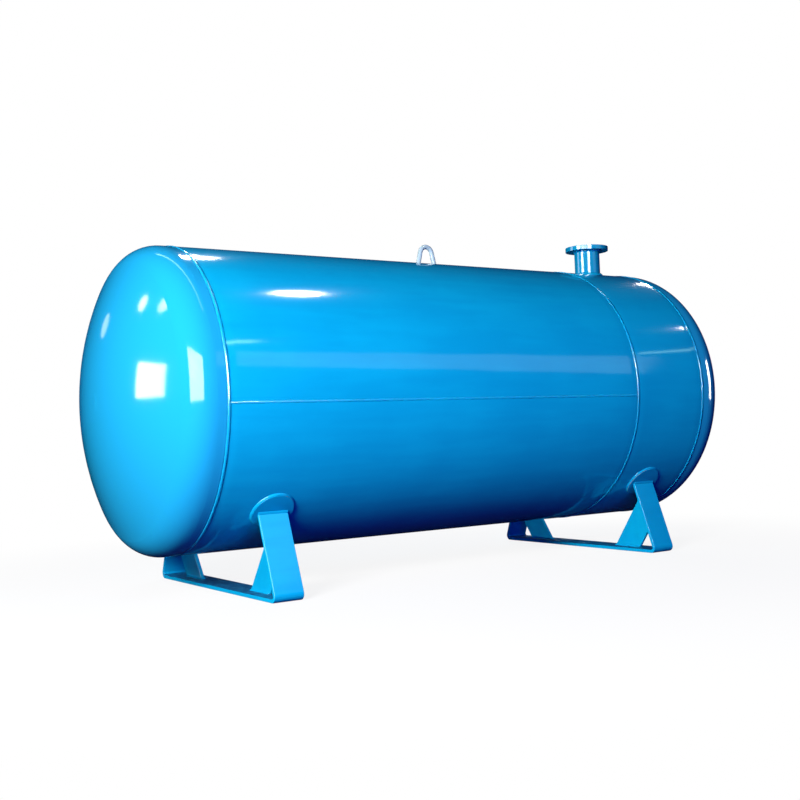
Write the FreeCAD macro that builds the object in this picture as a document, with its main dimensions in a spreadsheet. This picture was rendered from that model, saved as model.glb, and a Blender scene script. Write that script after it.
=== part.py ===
"""Horizontal pressure tank: a welded cylindrical vessel on two bent-bar supports.

The frame: X along the tank, Z up, origin on the floor under the middle of the tank.
Millimetres and degrees. Every driving dimension is a cell of the sheet "Sizes".
"""
import FreeCAD, Part
import math
import os
import re

import Sketcher
from FreeCAD import Placement, Rotation, Vector

# alias, value, meaning
SIZES = [
    ("shell_diameter", 1600, "outer diameter of the shell and of the heads"),
    ("shell_wall", 10, "plate of shell and heads"),
    ("main_length", 2640, "long shell course"),
    ("end_length", 560, "short shell course"),
    ("axis_height", 1000, "tank axis above the floor"),
    ("crown_radius", 1600, "outer radius of a head's crown"),
    ("knuckle_radius", 160, "outer radius of a head's knuckle"),
    ("head_flange", 55, "straight flange of a head"),
    ("girth_weld_width", 16, "weld cap between two courses"),
    ("girth_weld_height", 3, "rise of that cap over the plate"),
    ("long_weld_width", 12, "weld cap along a course"),
    ("long_weld_height", 2, "rise of that cap over the plate"),
    ("main_seam_angle", 93, "long seam of the long course, from the top towards -Y"),
    ("end_seam_angle", 93, "long seam of the short course, from the top towards +Y"),
    ("pipe_diameter", 168.3, "outer diameter of the nozzle pipe"),
    ("pipe_wall", 7.1, "wall of the nozzle pipe"),
    ("pipe_inset", 5, "lowest edge of the pipe inside the shell"),
    ("pipe_gap", 1, "gap round the pipe in the shell's hole"),
    ("pipe_setback", 8, "pipe end below the flange face"),
    ("nozzle_offset", 180, "nozzle axis from the seam of the right head"),
    ("nozzle_height", 195, "flange face above the top of the shell"),
    ("nozzle_weld", 18, "fillet round the foot of the pipe"),
    ("flange_diameter", 285, "nozzle flange"),
    ("flange_thickness", 28, "nozzle flange without its raised face"),
    ("face_diameter", 212, "raised face of the flange"),
    ("face_height", 2, "raised face of the flange"),
    ("bolt_circle", 240, "bolt holes of the flange"),
    ("bolt_hole", 22, "diameter of a bolt hole"),
    ("bolt_count", 8, "bolt holes of the flange"),
    ("flange_weld", 9, "fillet under the flange"),
    ("lug_offset", 90, "lifting lug from the middle of the tank, towards +X"),
    ("lug_bar", 28, "round bar of the lug"),
    ("lug_spread", 120, "between the feet of the lug, at the shell"),
    ("lug_height", 127, "top of the lug above the shell"),
    ("lug_bend", 42, "bend of the lug, at the middle of its bar"),
    ("lug_weld", 9, "fillet round a foot of the lug"),
    ("support_offset", 320, "middle of a support from the seam of its head"),
    ("bar_width", 160, "flat bar of the supports"),
    ("bar_thickness", 20, "flat bar of the supports"),
    ("base_length", 1460, "support across the tank, corner to corner"),
    ("bar_bend", 12, "inner radius where the bar turns up"),
    ("contact_angle", 45.4, "outer edge of a leg on its pad, below the horizontal"),
    ("brace_foot", 310, "near end of a brace's foot from the middle of the base"),
    ("brace_width", 170, "brace, square to its slope"),
    ("brace_angle", 54, "slope of a brace"),
    ("brace_thickness", 20, "plate of a brace"),
    ("pad_diameter", 220, "round pad under a leg"),
    ("pad_thickness", 10, "round pad under a leg"),
    ("pad_weld", 8, "fillet round a pad"),
    ("leg_weld", 9, "fillet across the top of a leg"),
]
VALUE = {alias: value for alias, value, meaning in SIZES}

doc = FreeCAD.newDocument("pressure_tank")
sheet = doc.addObject("Spreadsheet::Sheet", "Sizes")
for row, (alias, value, meaning) in enumerate(SIZES, start=1):
    sheet.set(f"A{row}", meaning)
    sheet.set(f"B{row}", str(value))
    sheet.setAlias(f"B{row}", alias)
doc.recompute()

# Sizes that several pieces share, as formulas of the cells.
TANK_RADIUS = "shell_diameter / 2"
SHELL_LENGTH = "(main_length + end_length)"
LEFT_SEAM = f"-{SHELL_LENGTH} / 2"
MIDDLE_SEAM = f"(main_length - {SHELL_LENGTH} / 2)"
RIGHT_SEAM = f"{SHELL_LENGTH} / 2"
SHELL_TOP = f"(axis_height + {TANK_RADIUS})"
NOZZLE_X = f"({RIGHT_SEAM} - nozzle_offset)"
PAD_RADIUS = f"({TANK_RADIUS} + pad_thickness)"
SUPPORT_X = {"left": f"({LEFT_SEAM} + support_offset)", "right": f"({RIGHT_SEAM} - support_offset)"}

START, END, CENTRE = 1, 2, 3            # a sketch names a curve's points 1, 2 and 3
H_AXIS, V_AXIS = -1, -2
PARTS = []                              # the objects that become files


def cell(formula):
    """The formula with each alias written as a cell of the sheet."""
    return re.sub(r"[a-z_]+", lambda word: "Sizes." + word[0] if word[0] in VALUE else word[0], formula)


def bind(thing, **formulas):
    """Set properties of an object from formulas."""
    for name, formula in formulas.items():
        thing.setExpression(name, cell(formula))
    return thing


def place(thing, x="0", y="0", z="0", axis=None, angle=None):
    """Put an object at x, y, z, turned about an axis by a formula in degrees."""
    if axis:
        thing.Placement = Placement(Vector(), Rotation(axis, 10))
        thing.setExpression(".Placement.Rotation.Angle", cell(angle))
    for name, formula in (("x", x), ("y", y), ("z", z)):
        thing.setExpression(".Placement.Base." + name, cell(formula))
    return thing


def keep(thing, label):
    """Name an object as a piece of the tank."""
    thing.Label = label
    PARTS.append(thing)
    return thing


def new_body(label):
    return keep(doc.addObject("PartDesign::Body", label), label)


def origin_plane(body, role):
    return next(feature for feature in body.Origin.OriginFeatures if feature.Role == role)


class Outline:
    """A sketch on one of a body's origin planes, with sizes bound to the sheet."""

    def __init__(self, body, role, name):
        self.sketch = body.newObject("Sketcher::SketchObject", name)
        self.sketch.AttachmentSupport = (origin_plane(body, role), [""])
        self.sketch.MapMode = "FlatFace"

    def line(self, start, end, construction=False):
        return self.sketch.addGeometry(Part.LineSegment(Vector(start), Vector(end)), construction)

    def circle(self, centre, radius, construction=False):
        curve = Part.Circle(Vector(centre), Vector(0, 0, 1), radius)
        return self.sketch.addGeometry(curve, construction)

    def arc(self, centre, radius, start, end):
        """An arc that runs anticlockwise between two angles in degrees."""
        curve = Part.Circle(Vector(centre), Vector(0, 0, 1), radius)
        return self.sketch.addGeometry(
            Part.ArcOfCircle(curve, math.radians(start), math.radians(end)), False)

    def point(self, spot):
        return self.sketch.addGeometry(Part.Point(Vector(spot)), True)

    def rule(self, *rule):
        return self.sketch.addConstraint(Sketcher.Constraint(*rule))

    def join(self, *ends):
        """Join the curves' points in pairs: curve, point, curve, point."""
        self.rule("Coincident", *ends)

    def size(self, formula, value, *rule):
        """A dimension: its first value starts the solver, then the formula holds it."""
        index = self.rule(*rule, value)
        name = f"size_{index}"
        self.sketch.renameConstraint(index, name)
        self.sketch.setExpression("Constraints." + name, cell(formula))

    def ring(self, outer, inner):
        """Two circles about the sketch's origin."""
        for formula, first_radius in ((outer, 60), (inner, 40)):
            curve = self.circle((0, 0, 0), first_radius)
            self.join(curve, CENTRE, H_AXIS, START)
            self.size(formula, first_radius, "Radius", curve)


def pad(body, outline, length, name="Pad"):
    feature = body.newObject("PartDesign::Pad", name)
    feature.Profile = outline.sketch
    return bind(feature, Length=length)


def revolve(body, outline, name="Revolution"):
    """A full turn about the sketch's horizontal axis."""
    feature = body.newObject("PartDesign::Revolution", name)
    feature.Profile = outline.sketch
    feature.ReferenceAxis = (outline.sketch, ["H_Axis"])
    feature.Angle = 360
    return feature


# ------------------------------------------------------------------ the vessel
def shell_course(label, start, length):
    """An open tube between two seams."""
    body = place(new_body(label), x=start, z="axis_height")
    outline = Outline(body, "YZ_Plane", label + "_section")
    outline.ring(TANK_RADIUS, f"{TANK_RADIUS} - shell_wall")
    pad(body, outline, length)
    return body


def nozzle_hole(body):
    """The hole for the nozzle pipe, through the top of the short course."""
    radius = "(pipe_diameter / 2 + pipe_gap)"
    outline = Outline(body, "XY_Plane", "nozzle_hole")
    start = (VALUE["end_length"] - VALUE["nozzle_offset"], 0, 0)
    curve = outline.circle(start, VALUE["pipe_diameter"] / 2)
    outline.rule("PointOnObject", curve, CENTRE, H_AXIS)
    outline.size("end_length - nozzle_offset", start[0], "DistanceX", H_AXIS, START, curve, CENTRE)
    outline.size(radius, VALUE["pipe_diameter"] / 2, "Radius", curve)
    pocket = body.newObject("PartDesign::Pocket", "Nozzle_Pocket")
    pocket.Profile = outline.sketch
    pocket.Reversed = True
    bind(pocket, Length=f"{TANK_RADIUS} + shell_wall")


def head(label, seam, turned):
    """A dished head: straight flange, knuckle and crown, all of one plate thickness."""
    body = place(new_body(label), x=seam, z="axis_height", axis=Vector(0, 0, 1), angle=turned)
    radius, wall = VALUE["shell_diameter"] / 2, VALUE["shell_wall"]
    crown, knuckle, flange = VALUE["crown_radius"], VALUE["knuckle_radius"], VALUE["head_flange"]
    rise = radius - knuckle
    meet = math.degrees(math.asin(rise / (crown - knuckle)))
    back = flange - math.sqrt((crown - knuckle) ** 2 - rise ** 2)
    outline = Outline(body, "XZ_Plane", label + "_section")
    end_face = outline.line((0, radius - wall, 0), (0, radius, 0))
    outer_flange = outline.line((0, radius, 0), (flange, radius, 0))
    outer_knuckle = outline.arc((flange, rise, 0), knuckle, meet, 90)
    outer_crown = outline.arc((back, 0, 0), crown, 0, meet)
    apex = outline.line((back + crown, 0, 0), (back + crown - wall, 0, 0))
    inner_crown = outline.arc((back, 0, 0), crown - wall, 0, meet)
    inner_knuckle = outline.arc((flange, rise, 0), knuckle - wall, meet, 90)
    inner_flange = outline.line((flange, radius - wall, 0), (0, radius - wall, 0))
    outline.join(end_face, END, outer_flange, START)
    outline.rule("Tangent", outer_flange, END, outer_knuckle, END)
    outline.rule("Tangent", outer_knuckle, START, outer_crown, END)
    outline.join(outer_crown, START, apex, START)
    outline.join(apex, END, inner_crown, START)
    outline.rule("Tangent", inner_crown, END, inner_knuckle, START)
    outline.rule("Tangent", inner_knuckle, END, inner_flange, START)
    outline.join(inner_flange, END, end_face, START)
    outline.join(outer_crown, CENTRE, inner_crown, CENTRE)
    outline.join(outer_knuckle, CENTRE, inner_knuckle, CENTRE)
    outline.rule("PointOnObject", outer_crown, CENTRE, H_AXIS)
    outline.rule("PointOnObject", apex, START, H_AXIS)
    outline.rule("PointOnObject", apex, END, H_AXIS)
    outline.rule("PointOnObject", end_face, START, V_AXIS)
    outline.rule("PointOnObject", end_face, END, V_AXIS)
    outline.rule("Horizontal", outer_flange)
    outline.rule("Horizontal", inner_flange)
    outline.size(TANK_RADIUS, radius, "DistanceY", H_AXIS, START, end_face, END)
    outline.size("shell_wall", wall, "Distance", end_face)
    outline.size("head_flange", flange, "Distance", outer_flange)
    outline.size("knuckle_radius", knuckle, "Radius", outer_knuckle)
    outline.size("crown_radius", crown, "Radius", outer_crown)
    revolve(body, outline)
    return body


def bead_outline(body, role, name, width, height, flat):
    """The cross-section of a weld cap that lies on the shell, above the sketch's origin."""
    wide, high = VALUE[width], VALUE[height]
    radius = VALUE["shell_diameter"] / 2
    crown = (wide ** 2 / 4 + high ** 2) / (2 * high)
    half = math.degrees(math.asin(wide / 2 / crown))
    seat = radius if flat else math.sqrt(radius ** 2 - wide ** 2 / 4)
    outline = Outline(body, role, name)
    cap = outline.arc((0, seat + high - crown, 0), crown, 90 - half, 90 + half)
    if flat:
        root = outline.line((-wide / 2, seat, 0), (wide / 2, seat, 0))
        outline.join(cap, END, root, START)
        outline.join(cap, START, root, END)
        outline.size(TANK_RADIUS, radius, "DistanceY", H_AXIS, START, root, START)
    else:
        spread = math.degrees(math.asin(wide / 2 / radius))
        root = outline.arc((0, 0, 0), radius, 90 - spread, 90 + spread)
        outline.join(root, CENTRE, H_AXIS, START)
        outline.join(cap, END, root, END)
        outline.join(cap, START, root, START)
        outline.size(TANK_RADIUS, radius, "Radius", root)
    outline.rule("Symmetric", cap, START, cap, END, V_AXIS)
    outline.size(width, wide, "DistanceX", cap, END, cap, START)
    outline.size(f"({width} ^ 2 / 4 + {height} ^ 2) / (2 * {height})", crown, "Radius", cap)
    return outline


def girth_weld(label, seam):
    """The weld cap round a seam."""
    body = place(new_body(label), x=seam, z="axis_height")
    revolve(body, bead_outline(body, "XZ_Plane", label + "_section",
                               "girth_weld_width", "girth_weld_height", flat=True))


def long_weld(label, start, length, angle):
    """The weld cap along a course, between the caps of its two girth seams."""
    body = place(new_body(label), x=f"{start} + girth_weld_width / 2", z="axis_height",
                 axis=Vector(1, 0, 0), angle=angle)
    outline = bead_outline(body, "YZ_Plane", label + "_section",
                           "long_weld_width", "long_weld_height", flat=False)
    pad(body, outline, f"{length} - girth_weld_width")


# ------------------------------------------------------------------ the nozzle
def nozzle():
    """A slip-on flange on a short pipe that passes through the shell."""
    wall_top = f"sqrt(({TANK_RADIUS} - shell_wall) ^ 2 - (pipe_diameter / 2) ^ 2)"
    pipe_foot = f"axis_height + {wall_top} - pipe_inset"
    pipe_end = f"{SHELL_TOP} + nozzle_height - pipe_setback"
    pipe = place(new_body("nozzle_pipe"), x=NOZZLE_X, z=pipe_foot)
    ring = Outline(pipe, "XY_Plane", "pipe_section")
    ring.ring("pipe_diameter / 2", "pipe_diameter / 2 - pipe_wall")
    pad(pipe, ring, f"{pipe_end} - ({pipe_foot})")

    flange = place(new_body("nozzle_flange"), x=NOZZLE_X,
                   z=f"{SHELL_TOP} + nozzle_height - face_height - flange_thickness")
    ring = Outline(flange, "XY_Plane", "flange_section")
    ring.ring("flange_diameter / 2", "pipe_diameter / 2")
    pad(flange, ring, "flange_thickness", "Flange_Pad")
    ring = Outline(flange, "XY_Plane", "face_section")
    ring.ring("face_diameter / 2", "pipe_diameter / 2")
    pad(flange, ring, "flange_thickness + face_height", "Face_Pad")
    outline = Outline(flange, "XY_Plane", "bolt_hole")
    start = VALUE["bolt_circle"] / 2
    spread = math.pi / VALUE["bolt_count"]
    curve = outline.circle((start * math.cos(spread), start * math.sin(spread), 0), VALUE["bolt_hole"] / 2)
    outline.size("bolt_hole / 2", VALUE["bolt_hole"] / 2, "Radius", curve)
    outline.size("bolt_circle / 2 * cos(180 / bolt_count)", start * math.cos(spread),
                 "DistanceX", H_AXIS, START, curve, CENTRE)
    outline.size("bolt_circle / 2 * sin(180 / bolt_count)", start * math.sin(spread),
                 "DistanceY", H_AXIS, START, curve, CENTRE)
    hole = flange.newObject("PartDesign::Pocket", "Bolt_Pocket")
    hole.Profile = outline.sketch
    hole.Reversed = True
    bind(hole, Length="flange_thickness + face_height")
    doc.recompute()
    holes = flange.newObject("PartDesign::PolarPattern", "Bolt_Pattern")
    holes.Originals = [hole]
    holes.Axis = (origin_plane(flange, "Z_Axis"), [""])
    holes.Angle = 360
    bind(holes, Occurrences="bolt_count")
    flange.Tip = holes

    weld = place(new_body("nozzle_flange_weld"), x=NOZZLE_X,
                 z=f"{SHELL_TOP} + nozzle_height - face_height - flange_thickness",
                 axis=Vector(0, 1, 0), angle="90")
    outline = Outline(weld, "XZ_Plane", "flange_weld_section")
    inner, leg = VALUE["pipe_diameter"] / 2, VALUE["flange_weld"]
    under = outline.line((0, inner, 0), (0, inner + leg, 0))
    slope = outline.line((0, inner + leg, 0), (leg, inner, 0))
    along = outline.line((leg, inner, 0), (0, inner, 0))
    outline.join(under, END, slope, START)
    outline.join(slope, END, along, START)
    outline.join(along, END, under, START)
    outline.rule("PointOnObject", under, START, V_AXIS)
    outline.rule("Vertical", under)
    outline.rule("Horizontal", along)
    outline.size("pipe_diameter / 2", inner, "DistanceY", H_AXIS, START, under, START)
    outline.size("flange_weld", leg, "Distance", under)
    outline.size("flange_weld", leg, "Distance", along)
    revolve(weld, outline)


# ------------------------------------------------- pieces fitted to the round shell
def solid(kind, name, **formulas):
    """A primitive whose sizes are formulas."""
    return bind(doc.addObject("Part::" + kind, name), **formulas)


def lengthwise(name, radius, length):
    """A cylinder along the tank's axis, centred on the origin."""
    cylinder = solid("Cylinder", name, Radius=radius, Height=length)
    cylinder.Placement = Placement(Vector(), Rotation(Vector(0, 1, 0), 90))
    cylinder.setExpression(".Placement.Base.x", cell(f"-({length}) / 2"))
    return cylinder


def combine(kind, name, base, tool):
    """Part::Cut or Part::Common of two objects."""
    result = doc.addObject("Part::" + kind, name)
    result.Base, result.Tool = base, tool
    return result


def foot_weld(label, bar, x, radius, leg):
    """A fillet round an upright bar or pipe on the top of the shell."""
    sink = "(shell_wall / 2)"
    cone = solid("Cone", label + "_cone", Radius1=f"{radius} + {leg} + {sink} / 2", Radius2=f"{radius} + 1",
                 Height=f"{leg} + {sink}")
    place(cone, x=x, z=f"{SHELL_TOP} - {sink}")
    shell = place(lengthwise(label + "_shell", TANK_RADIUS, f"2 * ({radius} + 3 * {leg})"), z="axis_height")
    shell.setExpression(".Placement.Base.x", cell(f"{x} - ({radius} + 3 * {leg})"))
    fitted = combine("Cut", label + "_fitted", cone, shell)
    keep(combine("Cut", label, fitted, bar), label)


def lifting_lug():
    """A round bar bent to an arch, its two feet on the top of the shell."""
    lug_x = "lug_offset"
    arch = doc.addObject("PartDesign::Body", "lug_arch")
    place(arch, x=lug_x, z=SHELL_TOP)
    half, bend = VALUE["lug_spread"] / 2, VALUE["lug_bend"]
    centre = VALUE["lug_height"] - VALUE["lug_bar"] / 2 - bend
    reach = math.hypot(half, centre)
    lean = math.atan2(half, centre) - math.asin(bend / reach)
    foot = -VALUE["shell_wall"] / 2
    path = Outline(arch, "XZ_Plane", "lug_path")
    bow = path.arc((0, centre, 0), bend, math.degrees(lean), 90)
    leg = path.line((bend * math.cos(lean), centre + bend * math.sin(lean), 0),
                    (half - foot * math.tan(lean), foot, 0))
    stand = path.point((half, 0, 0))
    path.rule("PointOnObject", bow, CENTRE, V_AXIS)
    path.rule("PointOnObject", bow, END, V_AXIS)
    path.rule("Tangent", bow, START, leg, START)
    path.rule("PointOnObject", stand, START, H_AXIS)
    path.rule("PointOnObject", stand, START, leg)
    path.size("lug_bend", bend, "Radius", bow)
    path.size("lug_height - lug_bar / 2 - lug_bend", centre, "DistanceY", H_AXIS, START, bow, CENTRE)
    path.size("lug_spread / 2", half, "DistanceX", H_AXIS, START, stand, START)
    path.size("shell_wall / 2", -foot, "DistanceY", leg, END, H_AXIS, START)
    section = Outline(arch, "YZ_Plane", "lug_section")
    rise = VALUE["lug_height"] - VALUE["lug_bar"] / 2
    curve = section.circle((0, rise, 0), VALUE["lug_bar"] / 2)
    section.rule("PointOnObject", curve, CENTRE, V_AXIS)
    section.size("lug_bar / 2", VALUE["lug_bar"] / 2, "Radius", curve)
    section.size("lug_height - lug_bar / 2", rise, "DistanceY", H_AXIS, START, curve, CENTRE)
    doc.recompute()
    sweep = arch.newObject("PartDesign::AdditivePipe", "Lug_Sweep")
    sweep.Profile = section.sketch
    sweep.Spine = path.sketch
    doc.recompute()
    both = arch.newObject("PartDesign::Mirrored", "Lug_Mirror")
    both.Originals = [sweep]
    both.MirrorPlane = (origin_plane(arch, "YZ_Plane"), [""])
    arch.Tip = both
    shell = place(lengthwise("lug_shell", TANK_RADIUS, "3 * lug_spread"), z="axis_height")
    shell.setExpression(".Placement.Base.x", cell(f"{lug_x} - 1.5 * lug_spread"))
    lug = keep(combine("Cut", "lifting_lug", arch, shell), "lifting_lug")
    for side, sign in (("left", "-"), ("right", "+")):
        foot_weld(f"lug_weld_{side}", lug, f"({lug_x} {sign} lug_spread / 2)", "lug_bar / 2", "lug_weld")


def wear_pad(side, near, x):
    """A round pad rolled to the shell, and the fillet round it."""
    turn = f"{'' if near else '-'}(90 + contact_angle)"
    name = f"{side}_{'near' if near else 'far'}"

    def blank(part, radius, thickness):
        """The disc of a radius, between the shell and a thickness over it."""
        disc = solid("Cylinder", f"{name}_{part}_disc", Radius=radius, Height="4 * pad_thickness")
        disc.setExpression(".Placement.Base.z", cell(f"{TANK_RADIUS} - 2 * pad_thickness"))
        outer = lengthwise(f"{name}_{part}_outer", f"{TANK_RADIUS} + {thickness}", "2 * pad_diameter")
        inner = lengthwise(f"{name}_{part}_inner", TANK_RADIUS, "3 * pad_diameter")
        tube = combine("Cut", f"{name}_{part}_tube", outer, inner)
        return combine("Common", f"{name}_{part}_blank", disc, tube)

    pad_piece = keep(blank("pad", "pad_diameter / 2", "pad_thickness"), f"wear_pad_{name}")
    place(pad_piece, x=x, z="axis_height", axis=Vector(1, 0, 0), angle=turn)
    collar = blank("weld", "pad_diameter / 2 + pad_weld", "pad_weld")
    core = solid("Cylinder", f"{name}_weld_core", Radius="pad_diameter / 2", Height="6 * pad_thickness")
    core.setExpression(".Placement.Base.z", cell(f"{TANK_RADIUS} - 3 * pad_thickness"))
    ring = keep(combine("Cut", f"{name}_weld_ring", collar, core), f"pad_weld_{name}")
    place(ring, x=x, z="axis_height", axis=Vector(1, 0, 0), angle=turn)


# ---------------------------------------------------------------- the supports
def leg_line():
    """Corner of the base, outer edge of the leg's top and the way up the leg, in the +Y half."""
    reach = VALUE["shell_diameter"] / 2 + VALUE["pad_thickness"]
    angle = math.radians(VALUE["contact_angle"])
    corner = Vector(VALUE["base_length"] / 2, 0, 0)
    top = Vector(reach * math.cos(angle), VALUE["axis_height"] - reach * math.sin(angle), 0)
    return corner, top, (top - corner).normalize()


def draw_leg(outline):
    """Construction lines of a leg: its outer face, its inner face and the pad's circle."""
    corner, top, along = leg_line()
    thick = VALUE["bar_thickness"]
    inward = Vector(-along.y, along.x, 0) * thick
    reach = VALUE["shell_diameter"] / 2 + VALUE["pad_thickness"]
    outer = outline.line(corner, top, True)
    inner = outline.line(corner + inward, top + inward, True)
    circle = outline.circle((0, VALUE["axis_height"], 0), reach, True)
    outline.rule("PointOnObject", outer, START, H_AXIS)
    outline.size("base_length / 2", corner.x, "DistanceX", H_AXIS, START, outer, START)
    outline.rule("PointOnObject", circle, CENTRE, V_AXIS)
    outline.size("axis_height", VALUE["axis_height"], "DistanceY", H_AXIS, START, circle, CENTRE)
    outline.size(PAD_RADIUS, reach, "Radius", circle)
    outline.rule("PointOnObject", outer, END, circle)
    outline.size(f"{PAD_RADIUS} * sin(contact_angle)", VALUE["axis_height"] - top.y,
                 "DistanceY", outer, END, circle, CENTRE)
    outline.rule("Parallel", outer, inner)
    outline.size("bar_thickness", thick, "Distance", inner, START, outer)
    return outer, inner, circle


def support(side, x):
    """The flat bar across the floor, both ends turned up to the pads."""
    body = place(new_body(f"support_bar_{side}"), x=f"{x} - bar_width / 2")
    corner, top, along = leg_line()
    lean = math.atan2(along.y, along.x)
    face = Vector(along.y, -along.x, 0)
    thick, bend = VALUE["bar_thickness"], VALUE["bar_bend"]
    outer_bend = bend + thick
    reach = VALUE["shell_diameter"] / 2 + VALUE["pad_thickness"]
    height = VALUE["axis_height"]
    middle = Vector(corner.x - outer_bend / math.tan((math.pi - lean) / 2), outer_bend, 0)
    turn = math.degrees(lean) - 90
    inner_top = top - face * thick
    inner_angle = math.degrees(math.atan2(inner_top.y - height, inner_top.x))
    outline = Outline(body, "YZ_Plane", f"{side}_bar_section")
    under = outline.line((0, 0, 0), (middle.x, 0, 0))
    outer_arc = outline.arc(middle, outer_bend, -90, turn)
    outer_leg = outline.line(middle + face * outer_bend, top)
    seat = outline.arc((0, height, 0), reach, inner_angle, -VALUE["contact_angle"])
    inner_leg = outline.line(inner_top, middle + face * bend)
    inner_arc = outline.arc(middle, bend, -90, turn)
    over = outline.line((middle.x, thick, 0), (0, thick, 0))
    cut_line = outline.line((0, thick, 0), (0, 0, 0))
    sharp = outline.point(corner)
    outline.join(under, START, H_AXIS, START)
    outline.rule("Tangent", under, END, outer_arc, START)
    outline.rule("Tangent", outer_arc, END, outer_leg, START)
    outline.join(outer_leg, END, seat, END)
    outline.join(seat, START, inner_leg, START)
    outline.rule("Tangent", inner_leg, END, inner_arc, END)
    outline.rule("Tangent", inner_arc, START, over, START)
    outline.join(over, END, cut_line, START)
    outline.join(cut_line, END, under, START)
    outline.join(outer_arc, CENTRE, inner_arc, CENTRE)
    outline.rule("Horizontal", under)
    outline.rule("Vertical", cut_line)
    outline.rule("PointOnObject", seat, CENTRE, V_AXIS)
    outline.rule("PointOnObject", sharp, START, H_AXIS)
    outline.rule("PointOnObject", sharp, START, outer_leg)
    outline.size("bar_thickness", thick, "Distance", cut_line)
    outline.size("bar_bend", bend, "Radius", inner_arc)
    outline.size("base_length / 2", corner.x, "DistanceX", H_AXIS, START, sharp, START)
    outline.size("axis_height", height, "DistanceY", H_AXIS, START, seat, CENTRE)
    outline.size(PAD_RADIUS, reach, "Radius", seat)
    outline.size(f"{PAD_RADIUS} * sin(contact_angle)", height - top.y, "DistanceY", seat, END, seat, CENTRE)
    half = pad(body, outline, "bar_width", "Half_Pad")
    doc.recompute()
    whole = body.newObject("PartDesign::Mirrored", "Bar_Mirror")
    whole.Originals = [half]
    whole.MirrorPlane = (origin_plane(body, "XZ_Plane"), [""])
    body.Tip = whole


def across(label, x, near, width):
    """A body of a width along X, drawn in the +Y half: turned round Z for the -Y half."""
    shift = "+" if near else "-"
    return place(new_body(label), x=f"{x} {shift} {width} / 2",
                 axis=Vector(0, 0, 1), angle="180" if near else "0")


def brace(side, near, x):
    """The plate on the middle of the base bar that props the inner face of a leg."""
    name = f"{side}_{'near' if near else 'far'}"
    body = across(f"brace_{name}", x, near, "brace_thickness")
    outline = Outline(body, "YZ_Plane", f"{name}_brace_section")
    outer_face, inner_face, circle = draw_leg(outline)
    corner, top, along = leg_line()
    thick, foot_start = VALUE["bar_thickness"], VALUE["brace_foot"]
    slope = math.radians(VALUE["brace_angle"])
    step = Vector(math.cos(slope), math.sin(slope), 0)
    leg_start = corner + Vector(-along.y, along.x, 0) * thick

    def reach_leg(spot):
        """Where a line of the brace's slope from a spot meets the leg's inner face."""
        gap = leg_start - spot
        run = (gap.x * along.y - gap.y * along.x) / (step.x * along.y - step.y * along.x)
        return spot + step * run

    low_front = Vector(foot_start, thick, 0)
    low_back = low_front + Vector(VALUE["brace_width"] / math.sin(slope), 0, 0)
    high_front, high_back = reach_leg(low_front), reach_leg(low_back)
    foot = outline.line(low_back, low_front)
    front = outline.line(low_front, high_front)
    end = outline.line(high_front, high_back)
    back = outline.line(high_back, low_back)
    for first, second in ((foot, front), (front, end), (end, back), (back, foot)):
        outline.join(first, END, second, START)
    outline.rule("Horizontal", foot)
    outline.rule("Parallel", front, back)
    outline.rule("PointOnObject", end, START, inner_face)
    outline.rule("PointOnObject", end, END, inner_face)
    outline.size("bar_thickness", thick, "DistanceY", H_AXIS, START, foot, END)
    outline.size("brace_foot", foot_start, "DistanceX", H_AXIS, START, foot, END)
    outline.size("brace_width", VALUE["brace_width"], "Distance", foot, START, front)
    outline.size("brace_angle", slope, "Angle", front)
    pad(body, outline, "brace_thickness")


def leg_top_weld(side, near, x):
    """The fillet between a leg's outer face and its pad."""
    name = f"{side}_{'near' if near else 'far'}"
    body = across(f"leg_weld_{name}", x, near, "bar_width")
    outline = Outline(body, "YZ_Plane", f"{name}_weld_section")
    outer_face, inner_face, circle = draw_leg(outline)
    corner, top, along = leg_line()
    leg = VALUE["leg_weld"]
    angle = math.radians(VALUE["contact_angle"])
    low = top - along * leg
    high = top + Vector(math.sin(angle), math.cos(angle), 0) * leg
    down = outline.line(top, low)
    slope = outline.line(low, high)
    over = outline.line(high, top)
    outline.join(down, END, slope, START)
    outline.join(slope, END, over, START)
    outline.join(over, END, down, START)
    outline.join(down, START, outer_face, END)
    outline.rule("PointOnObject", down, END, outer_face)
    outline.rule("PointOnObject", over, START, circle)
    outline.size("leg_weld", leg, "Distance", down)
    outline.size("leg_weld", leg, "Distance", over)
    pad(body, outline, "bar_width")


# -------------------------------------------------------------------- assembly
shell_course("shell_course_long", LEFT_SEAM, "main_length")
nozzle_hole(shell_course("shell_course_short", MIDDLE_SEAM, "end_length"))
head("head_left", LEFT_SEAM, "180")
head("head_right", RIGHT_SEAM, "0")
for name, seam in (("left", LEFT_SEAM), ("middle", MIDDLE_SEAM), ("right", RIGHT_SEAM)):
    girth_weld(f"girth_weld_{name}", seam)
long_weld("long_weld_long_course", LEFT_SEAM, "main_length", "main_seam_angle")
long_weld("long_weld_short_course", MIDDLE_SEAM, "end_length", "-end_seam_angle")
nozzle()
doc.recompute()
nozzle_core = place(solid("Cylinder", "nozzle_core", Radius="pipe_diameter / 2", Height="nozzle_height"),
                    x=NOZZLE_X, z=f"{SHELL_TOP} - nozzle_height / 2")
foot_weld("nozzle_shell_weld", nozzle_core, NOZZLE_X, "pipe_diameter / 2", "nozzle_weld")
lifting_lug()
for side, x in SUPPORT_X.items():
    support(side, x)
    for near in (True, False):
        wear_pad(side, near, x)
        brace(side, near, x)
        leg_top_weld(side, near, x)
doc.recompute()

for thing in doc.Objects:
    if "Invalid" in thing.State or "Error" in thing.State:
        raise RuntimeError(f"{thing.Label} did not compute: {thing.State}")
for piece in PARTS:
    if piece.Shape.isNull() or not piece.Shape.isValid() or len(piece.Shape.Solids) != 1:
        raise RuntimeError(f"{piece.Label} is not one valid solid")

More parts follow.
